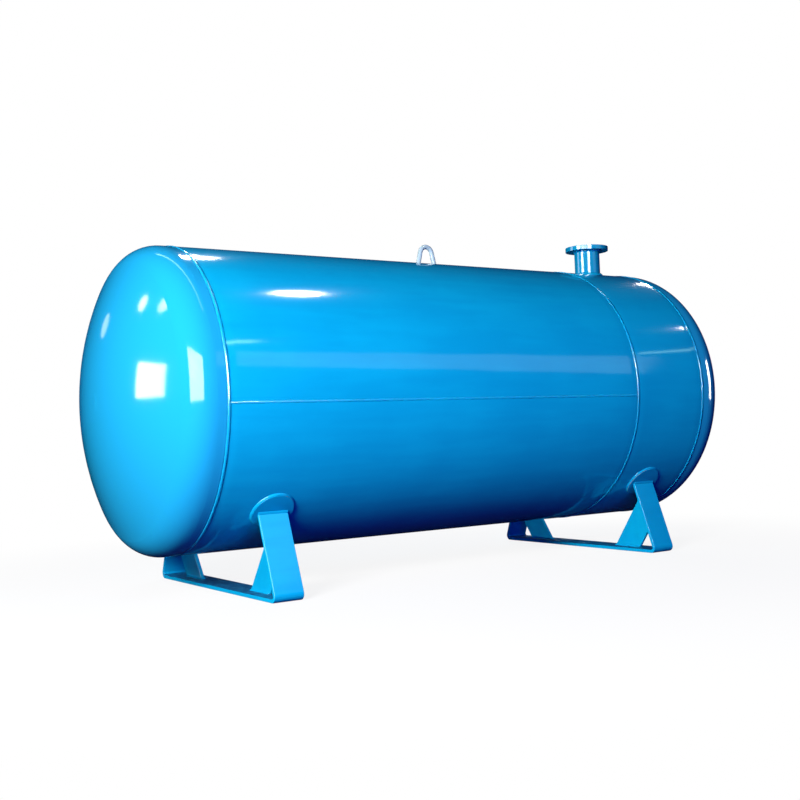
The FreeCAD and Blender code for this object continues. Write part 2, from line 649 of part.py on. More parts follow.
os.makedirs("parts", exist_ok=True)
for piece in PARTS:
    piece.Shape.exportStep(f"parts/{piece.Label}.step")
    print(f"{piece.Label:28s} {piece.Shape.Volume / 1000:12.1f} cm3")
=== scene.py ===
"""The looks of a blue horizontal pressure tank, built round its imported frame.

Metres throughout. X runs along the tank, Z is up, the floor is at zero and the near side is -Y.
Angles about the tank's axis count from the top towards the near side.
"""
import math

import bmesh
import bpy
from mathutils import Euler, Matrix, Vector

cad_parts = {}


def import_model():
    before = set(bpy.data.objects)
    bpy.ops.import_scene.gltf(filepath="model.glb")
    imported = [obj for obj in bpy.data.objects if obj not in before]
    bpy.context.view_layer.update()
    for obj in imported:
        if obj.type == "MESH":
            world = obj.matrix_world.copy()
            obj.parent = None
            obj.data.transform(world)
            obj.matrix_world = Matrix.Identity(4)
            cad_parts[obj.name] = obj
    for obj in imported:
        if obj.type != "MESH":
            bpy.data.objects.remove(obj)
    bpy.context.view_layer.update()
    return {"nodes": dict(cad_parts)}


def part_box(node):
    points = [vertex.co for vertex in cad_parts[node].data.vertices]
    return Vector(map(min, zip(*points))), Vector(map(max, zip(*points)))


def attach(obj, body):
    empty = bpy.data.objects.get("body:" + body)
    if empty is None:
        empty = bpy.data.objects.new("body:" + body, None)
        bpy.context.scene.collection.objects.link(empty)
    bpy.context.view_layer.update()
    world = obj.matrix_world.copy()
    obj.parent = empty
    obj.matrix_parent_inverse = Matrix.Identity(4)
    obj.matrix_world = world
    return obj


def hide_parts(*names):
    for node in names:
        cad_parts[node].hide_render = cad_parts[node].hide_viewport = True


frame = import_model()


MM = 0.001
HALF_ROOT = math.sqrt(0.5)
WHITE = (1, 1, 1)

# ------------------------------------------------------------ places, from the frame
LONG_LOW, LONG_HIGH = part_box("shell_course_long")
SHORT_LOW, SHORT_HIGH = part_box("shell_course_short")
RADIUS = (LONG_HIGH.y - LONG_LOW.y) / 2
AXIS = LONG_LOW.z + RADIUS
SEAMS = {"left": LONG_LOW.x, "middle": SHORT_LOW.x, "right": SHORT_HIGH.x}
PIPE_LOW, PIPE_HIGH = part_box("nozzle_pipe")
NOZZLE_X = (PIPE_LOW.x + PIPE_HIGH.x) / 2
PIPE_RADIUS = (PIPE_HIGH.x - PIPE_LOW.x) / 2
FLANGE_LOW, FLANGE_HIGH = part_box("nozzle_flange")
LUG_LOW, LUG_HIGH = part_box("lifting_lug")
LUG_X = (LUG_LOW.x + LUG_HIGH.x) / 2
LUG_BAR = LUG_HIGH.y - LUG_LOW.y
SUPPORTS = {side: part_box(f"support_bar_{side}") for side in ("left", "right")}
TOWARDS = {"near": -1, "far": 1}        # the way along Y to each half of a support

# -------------------------------------------------------------------------- weld sizes
RIPPLE = 8 * MM                         # from one scale of a bead to the next
RIPPLE_STEPS = 5                        # faces along one scale
RIPPLE_PINCH = 0.07                     # how much a scale narrows, as a share of its width
RIPPLE_FALL = 0.28                      # how much a scale sinks, as a share of its height
BEAD_SIDES = 10                         # faces round a bead
BEAD_DEPTH = 1 * MM                     # how far a bead goes into the plate
GIRTH_WIDTH, GIRTH_HEIGHT = 17 * MM, 3 * MM
LONG_WIDTH, LONG_HEIGHT = 13 * MM, 2 * MM
SEAM_ANGLES = {"long": math.radians(93), "short": math.radians(-93)}
FILLET_CROWN = 0.16                     # how far a fillet bulges, as a share of its leg
NOZZLE_FILLET = 18 * MM
FLANGE_FILLET = 9 * MM
LUG_FILLET = 9 * MM
PAD_FILLET = 8 * MM
LEG_FILLET = 9 * MM
LEG_FILLET_SPREAD = 0.9                 # how far that fillet runs down the leg, as a share
BRACE_FILLET = 7 * MM

# --------------------------------------------------------- sizes of the bars and plates
PAD_RADIUS = 110 * MM
PAD_THICKNESS = 10 * MM
CONTACT = math.radians(45.4)            # the outer edge of a leg on its pad, below the horizontal
BRACE_FOOT = 205 * MM                   # how far the fillets run along a brace's foot
LUG_LEAN = 0.2                          # how fast the lug's legs lean in as they rise
BAR_ROUND = 3 * MM                      # worn corners of the flat bars and braces
PAD_ROUND = 1.5 * MM
FLANGE_ROUND = 1.2 * MM
SHARP = math.radians(35)                # corners sharper than this are rounded over
FLAT = math.radians(0.4)                # faces that turn less than this are one face

# ----------------------------------------------------------------------------- colours
BLUE = (0.0020, 0.368, 0.635, 1)
BLUE_THICK = (0.0015, 0.325, 0.590, 1)
# painted light and shade: the shell's blue, darker and with more red, set for how the heads are lit
LIGHT_TONED_HEAD_BLUE = (0.010, 0.312, 0.575, 1)
# painted shade: the tank's blue made darker for the nozzle pipe and its flange
SHADED_PIPE_BLUE = (0.003, 0.265, 0.470, 1)
# the lug's pale paint: partly its own pale finish, partly a painted highlight along the round bar
PALE_BLUE_AND_SHEEN = (0.40, 0.52, 0.56, 1)
DUST = (0.18, 0.42, 0.62, 1)
# deep navy painted shade, laid beside the girth welds and on the low flat faces of the supports
PAINTED_SHADE_NAVY = (0.002, 0.05, 0.16, 1)
PRIMER = (0.20, 0.19, 0.18, 1)
STEEL = (0.48, 0.47, 0.45, 1)
STAINED_STEEL = (0.30, 0.28, 0.25, 1)


# ----------------------------------------------------------------------- shader helpers
def node(tree, kind, inputs=None, **settings):
    """Add a shader node; an input is a number, a colour or another node's socket."""
    made = tree.nodes.new(kind)
    for name, value in settings.items():
        setattr(made, name, value)
    for name, value in (inputs or {}).items():
        if isinstance(value, bpy.types.NodeSocket):
            tree.links.new(value, made.inputs[name])
        else:
            made.inputs[name].default_value = value
    return made


def wire(tree, sockets, values):
    """Link each value into the socket of its name."""
    for name, value in values.items():
        tree.links.new(value, sockets[name])


def math_node(tree, operation, first, second=0.0, clamp=False):
    """One step of arithmetic on two values."""
    return node(tree, "ShaderNodeMath", {0: first, 1: second},
                operation=operation, use_clamp=clamp).outputs[0]


def times(tree, first, *others, clamp=False):
    """The product of two or more values."""
    product = first
    for other in others:
        product = math_node(tree, "MULTIPLY", product, other, clamp=clamp)
    return product


def ramp(tree, value, start, end, first=0.0, last=1.0, shape="LINEAR"):
    """A value that goes from first to last while another goes from start to end."""
    return node(tree, "ShaderNodeMapRange",
                {"Value": value, "From Min": start, "From Max": end, "To Min": first, "To Max": last},
                interpolation_type=shape).outputs["Result"]


def noise(tree, place, scale, detail, roughness=0.5):
    """A cloudy pattern of values about a half."""
    return node(tree, "ShaderNodeTexNoise", {"Vector": place, "Scale": scale, "Detail": detail,
                                             "Roughness": roughness}).outputs["Fac"]


def blend(tree, factor, first, second):
    """A colour between two colours."""
    mix = node(tree, "ShaderNodeMix", {"Factor": factor}, data_type="RGBA")
    for socket, value in ((mix.inputs[6], first), (mix.inputs[7], second)):
        if isinstance(value, bpy.types.NodeSocket):
            tree.links.new(value, socket)
        else:
            socket.default_value = value
    return mix.outputs[2]


def own_place(tree):
    """The place of the surface on the tank."""
    return node(tree, "ShaderNodeTexCoord").outputs["Object"]


def facing(tree):
    """The way the surface faces."""
    return node(tree, "ShaderNodeNewGeometry").outputs["Normal"]


def split(tree, vector):
    """The X, Y and Z of a vector."""
    return node(tree, "ShaderNodeSeparateXYZ", {0: vector}).outputs


def stretched(tree, place, scale, shift=(0, 0, 0)):
    """A place, scaled and shifted."""
    return node(tree, "ShaderNodeMapping", {"Vector": place, "Location": shift, "Scale": scale}).outputs[0]


# ---------------------------------------------------------------- effects on the paint
FLOAT, COLOR = "NodeSocketFloat", "NodeSocketColor"


def new_group(name, inputs, outputs):
    """An empty node group, with the sockets that its nodes read from and write to."""
    tree = bpy.data.node_groups.new(name, "ShaderNodeTree")
    for label, kind, value in inputs:
        socket = tree.interface.new_socket(label, in_out="INPUT", socket_type=kind)
        socket.default_value = value
    for label, kind in outputs:
        tree.interface.new_socket(label, in_out="OUTPUT", socket_type=kind)
    given = tree.nodes.new("NodeGroupInput").outputs
    result = tree.nodes.new("NodeGroupOutput").inputs
    return tree, given, result


def make_spray_group():
    """Sprayed enamel: uneven film, dust that settles on top and rubbed corners."""
    tree, given, result = new_group(
        "sprayed_enamel",
        [("Thin", COLOR, BLUE), ("Thick", COLOR, BLUE_THICK), ("Gloss", FLOAT, 0.1),
         ("Dust", FLOAT, 0.15), ("Wear", FLOAT, 0.3), ("Peel", FLOAT, 1.0)],
        [("Color", COLOR), ("Roughness", FLOAT), ("Height", FLOAT)])
    spot = own_place(tree)

    film = noise(tree, spot, 1.7, 3.0, 0.55)
    passes = noise(tree, stretched(tree, spot, (0.12, 1.0, 1.0)), 14.0, 4.0, 0.6)
    cover = math_node(tree, "ADD", times(tree, film, 0.55), times(tree, passes, 0.45))
    spread = ramp(tree, cover, 0.38, 0.62, shape="SMOOTHSTEP")
    paint = blend(tree, spread, given["Thin"], given["Thick"])

    level = ramp(tree, split(tree, facing(tree))["Z"], 0.75, 1.0, shape="SMOOTHSTEP")
    settled = ramp(tree, noise(tree, spot, 38.0, 6.0, 0.7), 0.35, 0.75)
    dust = times(tree, level, settled, given["Dust"], clamp=True)
    dusty = blend(tree, dust, paint, DUST)

    corner = node(tree, "ShaderNodeAttribute", attribute_name="corner").outputs["Fac"]
    broken = ramp(tree, noise(tree, spot, 60.0, 5.0, 0.75), 0.60, 0.68)
    chipped = times(tree, corner, broken, given["Wear"], clamp=True)

    dull = times(tree, math_node(tree, "ADD", dust, chipped), 0.45)
    mottle = times(tree, passes, 0.05)
    rough = math_node(tree, "ADD", given["Gloss"], math_node(tree, "ADD", dull, mottle), clamp=True)

    peel = times(tree, noise(tree, spot, 190.0, 1.0), 0.012 * MM, given["Peel"])
    chips = times(tree, chipped, -0.1 * MM)
    wire(tree, result, {"Color": blend(tree, chipped, dusty, PRIMER), "Roughness": rough,
                        "Height": math_node(tree, "ADD", peel, chips)})
    return tree


def make_plate_group():
    """Rolled plate: long shallow waves, the slight pull of the plate at a girth weld, and the
    mask of painted shade along the toe of the weld, with a ragged edge."""
    tree, given, result = new_group("rolled_plate", [("Waves", FLOAT, 1.0), ("Pull", FLOAT, 1.0)],
                                    [("Height", FLOAT), ("ToeShade", FLOAT)])
    spot = own_place(tree)
    waves = noise(tree, stretched(tree, spot, (0.7, 1.0, 1.0)), 3.4, 1.5)
    swell = times(tree, waves, 1.6 * MM, given["Waves"])

    along = split(tree, spot)["X"]
    nearest = None
    for seam in SEAMS.values():
        away = math_node(tree, "ABSOLUTE", math_node(tree, "SUBTRACT", along, seam))
        nearest = away if nearest is None else math_node(tree, "MINIMUM", nearest, away)
    rise = ramp(tree, nearest, 0.0, 60 * MM, shape="SMOOTHERSTEP")
    pull = times(tree, rise, 1.1 * MM, given["Pull"])

    # painted shade beside each girth weld: darkest at the toe, fading out by 16 mm, ragged by noise
    toe = ramp(tree, nearest, GIRTH_WIDTH / 2, 16 * MM, 1.0, 0.0)
    ragged_shade = ramp(tree, noise(tree, spot, 9.0, 4.0), 0.3, 0.6)
    wire(tree, result, {"Height": math_node(tree, "ADD", swell, pull), "ToeShade": times(tree, toe, ragged_shade)})
    return tree


def make_inside_group():
    """1 on the faces that look towards the tank's axis, 0 outside."""
    tree, given, result = new_group("vessel_inside", [], [("Mask", FLOAT)])
    spot = split(tree, own_place(tree))
    held = node(tree, "ShaderNodeClamp", {"Value": spot["X"], "Min": SEAMS["left"] + RADIUS,
                                          "Max": SEAMS["right"] - RADIUS}).outputs[0]
    outwards = node(tree, "ShaderNodeCombineXYZ", {"X": math_node(tree, "SUBTRACT", spot["X"], held),
                                                   "Y": spot["Y"],
                                                   "Z": math_node(tree, "SUBTRACT", spot["Z"], AXIS)})
    turned = node(tree, "ShaderNodeVectorMath", {0: outwards.outputs[0], 1: facing(tree)},
                  operation="DOT_PRODUCT").outputs["Value"]
    wire(tree, result, {"Mask": math_node(tree, "LESS_THAN", turned, 0.0)})
    return tree


def make_low_shade_group():
    """Painted shade on the low flat faces, with a ragged edge."""
    tree, given, result = new_group("low_painted_shade", [], [("Mask", FLOAT)])
    spot = own_place(tree)
    low = ramp(tree, split(tree, spot)["Z"], 22 * MM, 40 * MM, 1.0, 0.0)
    flat = ramp(tree, split(tree, facing(tree))["Z"], 0.3, 0.9)
    ragged = ramp(tree, noise(tree, spot, 22.0, 6.0, 0.7), 0.25, 0.55, 0.45, 0.95)
    wire(tree, result, {"Mask": times(tree, low, flat, ragged)})
    return tree


SPRAY = make_spray_group()
PLATE = make_plate_group()
INSIDE = make_inside_group()
LOW_SHADE = make_low_shade_group()


# --------------------------------------------------------------------------- materials
def use(tree, group, **values):
    """Place a shared group in a tree with its own values, and give its outputs."""
    placed = node(tree, "ShaderNodeGroup", node_tree=group)
    for name, value in values.items():
        placed.inputs[name].default_value = value
    return placed.outputs


def new_material(name):
    """A material, its tree and its shader."""
    material = bpy.data.materials.new(name)
    material.use_nodes = True
    return material, material.node_tree, material.node_tree.nodes["Principled BSDF"]


def finish_surface(tree, shader, color, rough, height):
    """Give a shader its colour, its roughness and its relief, which is in metres."""
    bump = node(tree, "ShaderNodeBump", {"Height": height, "Strength": 1.0, "Distance": 1.0})
    wire(tree, shader.inputs, {"Base Color": color, "Roughness": rough, "Normal": bump.outputs[0]})


def enamel(name, gloss, dust, wear=0.0, peel=1.0, thin=BLUE, thick=BLUE_THICK, waves=0.0, pull=0.0,
           lined=False, shaded_foot=False):
    """Blue enamel, over rolled plate with painted shade beside its girth welds where waves and pull
    are given, primed inside where lined and with painted shade on top of its foot where asked."""
    material, tree, shader = new_material(name)
    spray = use(tree, SPRAY, Gloss=gloss, Dust=dust, Wear=wear, Peel=peel, Thin=thin, Thick=thick)
    color, rough, height = (spray[key] for key in ("Color", "Roughness", "Height"))
    if waves or pull:
        plate = use(tree, PLATE, Waves=waves, Pull=pull)
        height = math_node(tree, "ADD", height, plate["Height"])
        # painted shade beside the girth welds
        color = blend(tree, times(tree, plate["ToeShade"], 0.75), color, PAINTED_SHADE_NAVY)
    if lined:
        inside = use(tree, INSIDE)["Mask"]
        color = blend(tree, inside, color, PRIMER)
        rough = math_node(tree, "MAXIMUM", rough, times(tree, inside, 0.75))
    if shaded_foot:
        # painted shade on the low flat faces of the foot, which are made a little duller too
        low_shade = use(tree, LOW_SHADE)["Mask"]
        color = blend(tree, low_shade, color, PAINTED_SHADE_NAVY)
        rough = math_node(tree, "ADD", rough, times(tree, low_shade, 0.3))
    finish_surface(tree, shader, color, rough, height)
    shader.inputs["IOR"].default_value = 1.52
    return material


def machined_steel():
    """The turned sealing face of the flange, with its fine spiral groove."""
    material, tree, shader = new_material("machined_steel")
    spot = own_place(tree)
    centred = stretched(tree, spot, (1, 1, 0), shift=(-NOZZLE_X, 0, 0))
    groove = node(tree, "ShaderNodeTexWave", {"Vector": centred, "Scale": 180.0},
                  wave_type="RINGS", rings_direction="SPHERICAL").outputs["Fac"]
    stain = noise(tree, spot, 25.0, 5.0)
    color = blend(tree, times(tree, stain, 0.7), STEEL, STAINED_STEEL)
    rough = math_node(tree, "ADD", 0.28, times(tree, stain, 0.25))
    finish_surface(tree, shader, color, rough, times(tree, groove, 0.05 * MM))
    shader.inputs["Metallic"].default_value = 1.0
    return material


SHELL_PAINT = enamel("shell_enamel", gloss=0.07, dust=0.10, waves=1.0, pull=1.0, lined=True)
# the heads wear the retoned blue, painted light and shade over the same paint as the shell
HEAD_PAINT = enamel("head_enamel", gloss=0.06, dust=0.08, thin=LIGHT_TONED_HEAD_BLUE, thick=LIGHT_TONED_HEAD_BLUE,
                    waves=0.35, pull=0.6, lined=True)
# pale paint on the lug, part its own finish and part painted highlight
LUG_PAINT = enamel("lug_enamel", gloss=0.12, dust=0.1, thin=PALE_BLUE_AND_SHEEN, thick=PALE_BLUE_AND_SHEEN)
WELD_PAINT = enamel("weld_enamel", gloss=0.14, dust=0.10, peel=2.0)
# a darker copy of the blue, as painted shade on the pipe and flange
NOZZLE_PAINT = enamel("nozzle_enamel", gloss=0.08, dust=0.10, wear=0.5, thin=SHADED_PIPE_BLUE, thick=SHADED_PIPE_BLUE)
# the supports carry painted shade on the tops of their feet
SUPPORT_PAINT = enamel("support_enamel", gloss=0.14, dust=0.12, wear=0.5, peel=1.5, shaded_foot=True)
STEEL_FACE = machined_steel()


# ------------------------------------------------------------------------ mesh helpers
def finish_piece(name, bm, materials, stands_for=None, weighted=False):
    """Turn a bmesh into a piece of the tank that rides on its one body."""
    mesh = bpy.data.meshes.new(name)
    bm.to_mesh(mesh)
    bm.free()
    for face in mesh.polygons:
        face.use_smooth = True
    piece = bpy.data.objects.new(name, mesh)
    bpy.context.scene.collection.objects.link(piece)
    for material in materials:
        mesh.materials.append(material)
    if weighted:
        piece.modifiers.new("flat faces stay flat", "WEIGHTED_NORMAL")
    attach(piece, "root")
    if stands_for:
        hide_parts(stands_for)
    return piece


def paint_node(name, material):
    """Give a CAD node its finish."""
    slots = frame["nodes"][name].data.materials
    slots.clear()
    slots.append(material)


def bead(name, length, width, height, put, depth=BEAD_DEPTH, closed=False, stands_for=None):
    """A rippled weld bead: a lens-shaped bar, bent into its place by put(along, across, up)."""
    ripples = max(2, round(length / RIPPLE))
    bm = bmesh.new()
    bmesh.ops.create_circle(bm, cap_ends=True, radius=1, segments=BEAD_SIDES)
    bmesh.ops.rotate(bm, verts=bm.verts, cent=(0, 0, 0), matrix=Matrix.Rotation(math.pi / 2, 3, "Y"))
    pushed = bmesh.ops.extrude_face_region(bm, geom=bm.faces[:])["geom"]
    far_end = [part for part in pushed if isinstance(part, bmesh.types.BMVert)]
    bmesh.ops.translate(bm, vec=(1, 0, 0), verts=far_end)
    long_edges = [edge for edge in bm.edges if abs(edge.verts[0].co.x - edge.verts[1].co.x) > 0.5]
    bmesh.ops.subdivide_edges(bm, edges=long_edges, cuts=ripples * RIPPLE_STEPS - 1, use_grid_fill=True)
    if closed:
        caps = [face for face in bm.faces if len(face.verts) == BEAD_SIDES]
        bmesh.ops.delete(bm, geom=caps, context="FACES_ONLY")
    for vert in bm.verts:
        phase = vert.co.x * ripples % 1
        across = vert.co.y * width / 2 * (1 - RIPPLE_PINCH * phase)
        crown = height * (1 - RIPPLE_FALL * phase * phase)
        up = vert.co.z * (crown if vert.co.z > 0 else depth)
        vert.co = put(vert.co.x * length, across, up)
    if closed:
        bmesh.ops.remove_doubles(bm, verts=bm.verts, dist=0.02 * MM)
    bmesh.ops.recalc_face_normals(bm, faces=bm.faces)
    return finish_piece(name, bm, (WELD_PAINT,), stands_for)


def fillet(name, length, leg, put, closed=False, stands_for=None):
    """A bead in a corner: put(along, out, up) gets its distances along the corner's two faces."""
    def in_corner(along, across, rise):
        out = leg / 2 + (across + rise) * HALF_ROOT
        up = leg / 2 + (rise - across) * HALF_ROOT
        return put(along, out, up)
    return bead(name, length, leg / HALF_ROOT, leg * FILLET_CROWN, in_corner, depth=leg * HALF_ROOT,
                closed=closed, stands_for=stands_for)


def rounded(name, offset, materials, segments=3):
    """A CAD node again, with its sharp corners rounded over and marked for wear."""
    bm = bmesh.new()
    bm.from_mesh(frame["nodes"][name].data)
    bmesh.ops.remove_doubles(bm, verts=bm.verts, dist=0.01 * MM)
    bmesh.ops.dissolve_limit(bm, angle_limit=FLAT, verts=bm.verts, edges=bm.edges)
    sharp = [edge for edge in bm.edges if edge.is_manifold and edge.calc_face_angle(0) > SHARP]
    corner = bm.faces.layers.float.new("corner")
    rim = bmesh.ops.bevel(bm, geom=sharp, offset=offset, segments=segments, profile=0.5, affect="EDGES",
                          clamp_overlap=True, material=-1)
    for face in rim["faces"]:
        face[corner] = 1.0
    return finish_piece(name + "_rounded", bm, materials, name, weighted=True)


# ------------------------------------------------------------------------- the vessel
def round_shell(x, angle, rise):
    """A point on the tank's round side, or a little above it."""
    reach = RADIUS + rise
    return Vector((x, -reach * math.sin(angle), AXIS + reach * math.cos(angle)))


def girth_weld(side):
    """The weld round the tank at one of its seams."""
    def put(along, across, up):
        return round_shell(SEAMS[side] + across, along / RADIUS, up)
    bead(f"girth_bead_{side}", math.tau * RADIUS, GIRTH_WIDTH, GIRTH_HEIGHT, put, closed=True,
         stands_for=f"girth_weld_{side}")


def long_weld(course, left, right):
    """The weld along a course, between the girth welds at its ends."""
    start = SEAMS[left] + GIRTH_WIDTH / 2
    end = SEAMS[right] - GIRTH_WIDTH / 2

    def put(along, across, up):
        return round_shell(start + along, SEAM_ANGLES[course] + across / RADIUS, up)
    bead(f"long_bead_{course}", end - start, LONG_WIDTH, LONG_HEIGHT, put,
         stands_for=f"long_weld_{course}_course")


def vessel():
    """The courses and heads in their paint, and the welds along their seams."""
    for course in ("long", "short"):
        paint_node(f"shell_course_{course}", SHELL_PAINT)
    for end in ("left", "right"):
        paint_node(f"head_{end}", HEAD_PAINT)
    for side in SEAMS:
        girth_weld(side)
    long_weld("long", "left", "middle")
    long_weld("short", "middle", "right")


# ------------------------------------------------------------- what stands on the shell
def foot_weld(name, x, radius, leg, lean=0.0, stands_for=None):
    """The fillet round an upright bar or pipe on top of the shell."""
    def put(along, out, up):
        turn = along / radius
        reach = radius + out
        y = reach * math.sin(turn)
        height = AXIS + math.sqrt(RADIUS ** 2 - y ** 2) + up
        return Vector((x + reach * math.cos(turn) + lean * up, y, height))
    fillet(name, math.tau * radius, leg, put, closed=True, stands_for=stands_for)


def nozzle_welds():
    """The pipe in its paint, and the fillets at its foot and under its flange."""
    def put_under_flange(along, out, down):
        turn = along / PIPE_RADIUS
        reach = PIPE_RADIUS + out
        return Vector((NOZZLE_X + reach * math.cos(turn), reach * math.sin(turn), FLANGE_LOW.z - down))
    paint_node("nozzle_pipe", NOZZLE_PAINT)
    foot_weld("nozzle_foot_bead", NOZZLE_X, PIPE_RADIUS, NOZZLE_FILLET, stands_for="nozzle_shell_weld")
    fillet("flange_bead", math.tau * PIPE_RADIUS, FLANGE_FILLET, put_under_flange, closed=True,
           stands_for="nozzle_flange_weld")


def lifting_lug():
    """The lug in its paint, and the fillet round each of its feet."""
    paint_node("lifting_lug", LUG_PAINT)
    for side, way in (("left", -1), ("right", 1)):
        foot = LUG_X + way * ((LUG_HIGH.x - LUG_LOW.x) / 2 - LUG_BAR / 2)
        foot_weld(f"lug_bead_{side}", foot, LUG_BAR / 2, LUG_FILLET, lean=-way * LUG_LEAN,
                  stands_for=f"lug_weld_{side}")


def flange():
    """The flange, painted but for its bare sealing face."""
    piece = rounded("nozzle_flange", FLANGE_ROUND, (NOZZLE_PAINT, STEEL_FACE), segments=2)
    for face in piece.data.polygons:
        if face.normal.z > 0.99 and face.center.z > FLANGE_HIGH.z - 0.5 * MM:
            face.material_index = 1


# ------------------------------------------------------------------------- the supports
def pad_weld(side, half):
    """The fillet round a wear pad, rolled to the shell with it."""
    low, high = SUPPORTS[side]
    centre = (low.x + high.x) / 2
    middle = -TOWARDS[half] * (math.pi / 2 + CONTACT)

    def put(along, out, up):
        turn = along / PAD_RADIUS
        reach = PAD_RADIUS + out
        return round_shell(centre + reach * math.cos(turn), middle + reach * math.sin(turn) / RADIUS, up)
    fillet(f"pad_bead_{side}_{half}", math.tau * PAD_RADIUS, PAD_FILLET, put, closed=True,
           stands_for=f"pad_weld_{side}_{half}")


def leg_weld(side, half):
    """The fillet across the top of a leg, between its outer face and the pad."""
    low, high = SUPPORTS[side]
    way = TOWARDS[half]
    reach = RADIUS + PAD_THICKNESS
    top = Vector((0, way * reach * math.cos(CONTACT), AXIS - reach * math.sin(CONTACT)))
    corner = Vector((0, way * high.y, 0))
    down_leg = (corner - top).normalized()
    up_pad = Vector((0, way * math.sin(CONTACT), math.cos(CONTACT)))

    def put(along, down, up):
        across = Vector((low.x + along, 0, 0))
        return top + across + down_leg * down * LEG_FILLET_SPREAD + up_pad * up
    fillet(f"leg_bead_{side}_{half}", high.x - low.x, LEG_FILLET, put, stands_for=f"leg_weld_{side}_{half}")


def brace_weld(side, half, flank):
    """The fillet along one face of a brace's foot."""
    low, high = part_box(f"brace_{side}_{half}")
    face, way = (low.x, -1) if flank == "left" else (high.x, 1)
    start = min(abs(low.y), abs(high.y))

    def put(along, out, up):
        return Vector((face + way * out, TOWARDS[half] * (start + along), low.z + up))
    fillet(f"brace_bead_{side}_{half}_{flank}", BRACE_FOOT, BRACE_FILLET, put)


def support(side):
    """The bent bar, and in each half of it a brace, a pad and their welds."""
    rounded(f"support_bar_{side}", BAR_ROUND, (SUPPORT_PAINT,))
    for half in TOWARDS:
        rounded(f"brace_{side}_{half}", BAR_ROUND, (SUPPORT_PAINT,))
        rounded(f"wear_pad_{side}_{half}", PAD_ROUND, (SHELL_PAINT,), segments=2)
        pad_weld(side, half)
        leg_weld(side, half)
        for flank in ("left", "right"):
            brace_weld(side, half, flank)


# -------------------------------------------------------------- floor, world and camera
def floor_material():
    """White to the eye but for a faint shadow near the tank; to the tank it is a dark ground."""
    material, tree, shader = new_material("pale_floor")
    shader.inputs["Base Color"].default_value = (0.9, 0.9, 0.9, 1)
    shader.inputs["Roughness"].default_value = 0.9
    shader.inputs["Specular IOR Level"].default_value = 0.0
    away = node(tree, "ShaderNodeVectorMath", {0: own_place(tree)}, operation="LENGTH").outputs["Value"]
    shade = ramp(tree, away, 1.8, 4.0, 0.12, 0.0, shape="SMOOTHSTEP")
    lit = node(tree, "ShaderNodeEmission", {"Color": (1, 1, 1, 1), "Strength": 1.0})
    seen = node(tree, "ShaderNodeMixShader", {0: shade, 1: lit.outputs[0], 2: shader.outputs[0]})
    dark = node(tree, "ShaderNodeBsdfDiffuse", {"Color": (0.01, 0.015, 0.04, 1)})
    ray = node(tree, "ShaderNodeLightPath").outputs["Is Camera Ray"]
    both = node(tree, "ShaderNodeMixShader", {0: ray, 1: dark.outputs[0], 2: seen.outputs[0]})
    wire(tree, tree.nodes["Material Output"].inputs, {"Surface": both.outputs[0]})
    return material


def floor():
    """A wide ground under the tank."""
    bm = bmesh.new()
    bmesh.ops.create_grid(bm, x_segments=1, y_segments=1, size=60)
    mesh = bpy.data.meshes.new("floor")
    bm.to_mesh(mesh)
    bm.free()
    mesh.materials.append(floor_material())
    ground = bpy.data.objects.new("floor", mesh)
    bpy.context.scene.collection.objects.link(ground)


def world():
    """White behind the tank; a faint deep blue fill from all round."""
    sky = bpy.data.worlds.new("studio")
    sky.use_nodes = True
    bpy.context.scene.world = sky
    tree = sky.node_tree
    tree.nodes.clear()
    seen = node(tree, "ShaderNodeBackground", {"Color": (1, 1, 1, 1), "Strength": 1.0})
    fill = node(tree, "ShaderNodeBackground", {"Color": (0.002, 0.012, 0.08, 1), "Strength": 1.0})
    ray = node(tree, "ShaderNodeLightPath").outputs["Is Camera Ray"]
    both = node(tree, "ShaderNodeMixShader", {0: ray, 1: fill.outputs[0], 2: seen.outputs[0]})
    wire(tree, node(tree, "ShaderNodeOutputWorld").inputs, {"Surface": both.outputs[0]})


def camera():
    """A low three-quarter view from the left end."""
    data = bpy.data.cameras.new("camera")
    held = bpy.data.objects.new("camera", data)
    yaw, pitch, roll = math.radians(34.892), math.radians(2.357), math.radians(-2.166)
    held.location = (-3.7534, -5.5025, 0.7951)
    turned = Euler((math.pi / 2 + pitch, 0, -yaw)).to_matrix() @ Matrix.Rotation(roll, 3, "Z")
    held.rotation_euler = turned.to_euler()
    data.sensor_width = 36
    data.lens = 49.858
    data.shift_x, data.shift_y = -0.0375, -0.01875
    bpy.context.scene.collection.objects.link(held)
    bpy.context.scene.camera = held


# ------------------------------------------------------------------------------- lamps
def lamp(name, place, aim, size, power, color=WHITE, shape="RECTANGLE", along=(0, 0, 1), only=""):
    """A soft lamp that isn't seen itself; its height runs along a direction, and it can serve
    only for highlights ("glossy") or only for light ("diffuse")."""
    light = bpy.data.lights.new(name, "AREA")
    light.shape = shape
    light.size, light.size_y = size
    light.energy = power
    light.color = color
    held = bpy.data.objects.new(name, light)
    back = (Vector(place) - Vector(aim)).normalized()
    side = Vector(along).cross(back).normalized()
    turned = Matrix((side, back.cross(side), back)).transposed()
    held.matrix_world = Matrix.Translation(place) @ turned.to_4x4()
    held.visible_camera = False
    held.visible_diffuse = only != "glossy"
    held.visible_glossy = only != "diffuse"
    bpy.context.scene.collection.objects.link(held)
    return held


def shine_on(held, names, state="INCLUDE"):
    """Let a lamp reach only the pieces named, or all but those with "EXCLUDE"."""
    lit = bpy.data.collections.new(held.name + "_lights")
    for name in names:
        lit.objects.link(bpy.data.objects[name])
    for member in lit.collection_objects:
        member.light_linking.link_state = state
    held.light_linking.receiver_collection = lit


def highlight(name, place, aim, size, power, on=(), **settings):
    """A lamp that only makes a highlight, on the pieces named where there are any."""
    held = lamp(name, place, aim, size, power, only="glossy", **settings)
    if on:
        shine_on(held, on)
    return held


